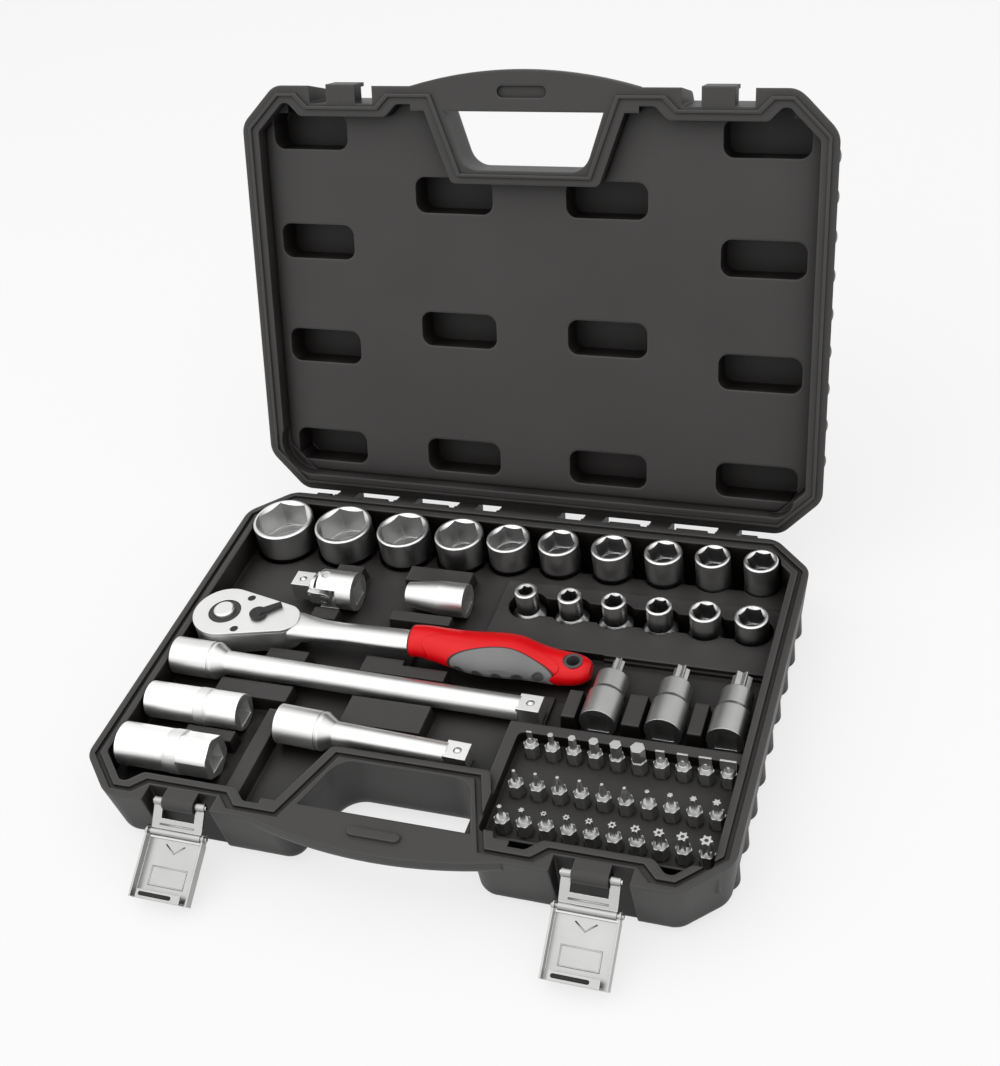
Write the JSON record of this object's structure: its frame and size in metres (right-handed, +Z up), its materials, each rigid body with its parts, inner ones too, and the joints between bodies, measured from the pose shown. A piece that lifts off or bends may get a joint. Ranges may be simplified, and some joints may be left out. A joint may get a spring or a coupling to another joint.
{
  "type": "socket wrench set in case",
  "caption": "Half-inch drive socket wrench set in an open hinged plastic case with draw latches, holding a ratchet, extensions, a universal joint, sockets and insert bits.",
  "frame": {"origin": "centre of the base's flat resting face", "axes": "+X to the right along the hinge, +Y from the handle to the hinge, +Z up"},
  "size_m": [0.388, 0.4534, 0.3054],
  "materials": {
    "case_plastic": "satin blow-moulded plastic",
    "tool_chrome": "satin chrome plating",
    "latch_steel": "plated sheet steel",
    "pin_steel": "drawn steel",
    "bit_steel": "satin tool steel",
    "dark_steel": "blackened steel",
    "grip_red": "red moulded plastic",
    "grip_soft": "soft dark grey moulding",
    "ring_black": "black plastic",
    "plug_rubber": "black rubber"
  },
  "bodies": {
    "case": {"case_base": "case_plastic", "hinge_pin": "pin_steel", "latch_link_pins": "pin_steel"},
    "lid": {"case_lid": "case_plastic", "lid_panel": "case_plastic"},
    "left_link": {"left_latch_link": "latch_steel"},
    "left_lever": {"left_latch_lever": "latch_steel"},
    "right_link": {"right_latch_link": "latch_steel"},
    "right_lever": {"right_latch_lever": "latch_steel"},
    "socket_32": {"socket_32mm": "tool_chrome"},
    "socket_30": {"socket_30mm": "tool_chrome"},
    "socket_27": {"socket_27mm": "tool_chrome"},
    "socket_24": {"socket_24mm": "tool_chrome"},
    "socket_21": {"socket_21mm": "tool_chrome"},
    "socket_19": {"socket_19mm": "tool_chrome"},
    "socket_18": {"socket_18mm": "tool_chrome"},
    "socket_17": {"socket_17mm": "tool_chrome"},
    "socket_16": {"socket_16mm": "tool_chrome"},
    "socket_15": {"socket_15mm": "tool_chrome"},
    "socket_8": {"socket_8mm": "tool_chrome"},
    "socket_9": {"socket_9mm": "tool_chrome"},
    "socket_10": {"socket_10mm": "tool_chrome"},
    "socket_11": {"socket_11mm": "tool_chrome"},
    "socket_13": {"socket_13mm": "tool_chrome"},
    "socket_14": {"socket_14mm": "tool_chrome"},
    "long_extension": {"long_extension": "tool_chrome"},
    "long_ball": {"long_extension_ball": "pin_steel"},
    "short_extension": {"short_extension": "tool_chrome"},
    "short_ball": {"short_extension_ball": "pin_steel"},
    "adapter": {"bit_adapter": "tool_chrome"},
    "joint_socket": {"joint_socket_half": "tool_chrome"},
    "joint_cross": {"joint_cross": "tool_chrome"},
    "joint_drive": {"joint_drive_half": "tool_chrome"},
    "joint_detent": {"joint_ball": "pin_steel"},
    "plug_16": {"spark_plug_socket_16mm": "tool_chrome", "plug_rubber_16mm": "plug_rubber"},
    "plug_21": {"spark_plug_socket_21mm": "tool_chrome", "plug_rubber_21mm": "plug_rubber"},
    "bit_socket_left": {"bit_socket_left": "tool_chrome", "star_bit_left": "bit_steel"},
    "bit_socket_middle": {"bit_socket_middle": "tool_chrome", "star_bit_middle": "bit_steel"},
    "bit_socket_right": {"bit_socket_right": "tool_chrome", "star_bit_right": "bit_steel"},
    "back_bits": {"hexagon_and_slotted_bits": "bit_steel"},
    "middle_bits": {"cross_and_star_bits": "bit_steel"},
    "front_bits": {"holed_star_bits": "bit_steel"},
    "ratchet": {"ratchet_body": "tool_chrome", "ratchet_cover": "tool_chrome", "cover_screws": "dark_steel", "ratchet_grip": "grip_red", "grip_inlay": "grip_soft", "hang_ring": "ring_black"},
    "drive": {"drive_gear": "tool_chrome", "button_spring": "pin_steel"},
    "drive_detent": {"drive_ball": "pin_steel"},
    "button": {"release_button": "tool_chrome"},
    "reverser": {"reverse_lever": "dark_steel", "pawl_spring": "pin_steel"},
    "pawl": {"pawl": "dark_steel"}
  },
  "joints": [
    {"name": "lid_hinge", "type": "hinge", "parent": "case", "child": "lid", "pos_m": [0, 0.1426, 0.0346], "axis": [-1, 0, 0], "range_deg": [-109.5, 0]},
    {"name": "left_link_swing", "type": "hinge", "parent": "case", "child": "left_link", "pos_m": [-0.122, -0.1335, 0.0395], "axis": [-1, 0, 0], "range_deg": [-30, 0]},
    {"name": "left_lever_swing", "type": "hinge", "parent": "left_link", "child": "left_lever", "pos_m": [-0.122, -0.14587, 0.02713], "axis": [1, 0, 0], "range_deg": [-149, 0]},
    {"name": "right_link_swing", "type": "hinge", "parent": "case", "child": "right_link", "pos_m": [0.122, -0.1335, 0.0395], "axis": [-1, 0, 0], "range_deg": [-30, 0]},
    {"name": "right_lever_swing", "type": "hinge", "parent": "right_link", "child": "right_lever", "pos_m": [0.122, -0.14587, 0.02713], "axis": [1, 0, 0], "range_deg": [-149, 0]},
    {"name": "socket_32_lift", "type": "slide", "parent": "case", "child": "socket_32", "axis": [0, 0, 1], "range_m": [0, 0.06]},
    {"name": "socket_30_lift", "type": "slide", "parent": "case", "child": "socket_30", "axis": [0, 0, 1], "range_m": [0, 0.06]},
    {"name": "socket_27_lift", "type": "slide", "parent": "case", "child": "socket_27", "axis": [0, 0, 1], "range_m": [0, 0.06]},
    {"name": "socket_24_lift", "type": "slide", "parent": "case", "child": "socket_24", "axis": [0, 0, 1], "range_m": [0, 0.06]},
    {"name": "socket_21_lift", "type": "slide", "parent": "case", "child": "socket_21", "axis": [0, 0, 1], "range_m": [0, 0.06]},
    {"name": "socket_19_lift", "type": "slide", "parent": "case", "child": "socket_19", "axis": [0, 0, 1], "range_m": [0, 0.06]},
    {"name": "socket_18_lift", "type": "slide", "parent": "case", "child": "socket_18", "axis": [0, 0, 1], "range_m": [0, 0.06]},
    {"name": "socket_17_lift", "type": "slide", "parent": "case", "child": "socket_17", "axis": [0, 0, 1], "range_m": [0, 0.06]},
    {"name": "socket_16_lift", "type": "slide", "parent": "case", "child": "socket_16", "axis": [0, 0, 1], "range_m": [0, 0.06]},
    {"name": "socket_15_lift", "type": "slide", "parent": "case", "child": "socket_15", "axis": [0, 0, 1], "range_m": [0, 0.06]},
    {"name": "socket_8_lift", "type": "slide", "parent": "case", "child": "socket_8", "axis": [0, 0, 1], "range_m": [0, 0.06]},
    {"name": "socket_9_lift", "type": "slide", "parent": "case", "child": "socket_9", "axis": [0, 0, 1], "range_m": [0, 0.06]},
    {"name": "socket_10_lift", "type": "slide", "parent": "case", "child": "socket_10", "axis": [0, 0, 1], "range_m": [0, 0.06]},
    {"name": "socket_11_lift", "type": "slide", "parent": "case", "child": "socket_11", "axis": [0, 0, 1], "range_m": [0, 0.06]},
    {"name": "socket_13_lift", "type": "slide", "parent": "case", "child": "socket_13", "axis": [0, 0, 1], "range_m": [0, 0.06]},
    {"name": "socket_14_lift", "type": "slide", "parent": "case", "child": "socket_14", "axis": [0, 0, 1], "range_m": [0, 0.06]},
    {"name": "long_extension_lift", "type": "slide", "parent": "case", "child": "long_extension", "axis": [0, 0, 1], "range_m": [0, 0.06]},
    {"name": "long_ball_press", "type": "slide", "parent": "long_extension", "child": "long_ball", "axis": [0.0212, 0, 0.9998], "range_m": [-0.0009, 0], "stiffness_N_per_m": 400, "springref_m": 0.0005},
    {"name": "short_extension_lift", "type": "slide", "parent": "case", "child": "short_extension", "axis": [0, 0, 1], "range_m": [0, 0.06]},
    {"name": "short_ball_press", "type": "slide", "parent": "short_extension", "child": "short_ball", "axis": [0.0551, 0, 0.9985], "range_m": [-0.0009, 0], "stiffness_N_per_m": 400, "springref_m": 0.0005},
    {"name": "adapter_lift", "type": "slide", "parent": "case", "child": "adapter", "axis": [0, 0, 1], "range_m": [0, 0.06]},
    {"name": "joint_socket_lift", "type": "slide", "parent": "case", "child": "joint_socket", "axis": [0, 0, 1], "range_m": [0, 0.06]},
    {"name": "joint_cross_turn", "type": "hinge", "parent": "joint_socket", "child": "joint_cross", "pos_m": [-0.107, 0.053, 0.03875], "axis": [0, 0, 1], "range_deg": [-18, 18]},
    {"name": "joint_drive_turn", "type": "hinge", "parent": "joint_cross", "child": "joint_drive", "pos_m": [-0.107, 0.053, 0.03875], "axis": [0, 1, 0], "range_deg": [0, 16]},
    {"name": "joint_ball_press", "type": "slide", "parent": "joint_drive", "child": "joint_detent", "axis": [0, 0, 1], "range_m": [-0.0009, 0], "stiffness_N_per_m": 400, "springref_m": 0.0005},
    {"name": "plug_16_lift", "type": "slide", "parent": "case", "child": "plug_16", "axis": [0, 0, 1], "range_m": [0, 0.06]},
    {"name": "plug_21_lift", "type": "slide", "parent": "case", "child": "plug_21", "axis": [0, 0, 1], "range_m": [0, 0.06]},
    {"name": "bit_socket_left_lift", "type": "slide", "parent": "case", "child": "bit_socket_left", "axis": [0, 0, 1], "range_m": [0, 0.06]},
    {"name": "bit_socket_middle_lift", "type": "slide", "parent": "case", "child": "bit_socket_middle", "axis": [0, 0, 1], "range_m": [0, 0.06]},
    {"name": "bit_socket_right_lift", "type": "slide", "parent": "case", "child": "bit_socket_right", "axis": [0, 0, 1], "range_m": [0, 0.06]},
    {"name": "back_bits_lift", "type": "slide", "parent": "case", "child": "back_bits", "axis": [0, 0, 1], "range_m": [0, 0.035]},
    {"name": "middle_bits_lift", "type": "slide", "parent": "case", "child": "middle_bits", "axis": [0, 0, 1], "range_m": [0, 0.035]},
    {"name": "front_bits_lift", "type": "slide", "parent": "case", "child": "front_bits", "axis": [0, 0, 1], "range_m": [0, 0.035]},
    {"name": "ratchet_lift", "type": "slide", "parent": "case", "child": "ratchet", "axis": [0, 0, 1], "range_m": [0, 0.06]},
    {"name": "drive_turn", "type": "hinge", "parent": "ratchet", "child": "drive", "pos_m": [-0.162, 0.0123, 0.0395], "axis": [0, 0, 1], "continuous": true},
    {"name": "drive_ball_press", "type": "slide", "parent": "drive", "child": "drive_detent", "axis": [0.9998, 0.0201, 0], "range_m": [-0.0009, 0], "stiffness_N_per_m": 400, "springref_m": 0.0005},
    {"name": "button_press", "type": "slide", "parent": "drive", "child": "button", "axis": [0, 0, 1], "range_m": [-0.003, 0], "stiffness_N_per_m": 900, "springref_m": 0.001, "deforming": ["button_spring"]},
    {"name": "reverser_turn", "type": "hinge", "parent": "ratchet", "child": "reverser", "pos_m": [-0.138, 0.01278, 0.0395], "axis": [0, 0, 1], "range_deg": [-80, 0]},
    {"name": "pawl_rock", "type": "hinge", "parent": "ratchet", "child": "pawl", "pos_m": [-0.144, 0.01266, 0.0395], "axis": [0, 0, 1], "range_deg": [-3, 0]}
  ],
  "couplings": [
    {"joint": "left_link_swing", "follows": "left_lever_swing", "ratio": 0.20134},
    {"joint": "right_link_swing", "follows": "right_lever_swing", "ratio": 0.20134},
    {"joint": "pawl_rock", "follows": "reverser_turn", "ratio": 0.0375}
  ]
}
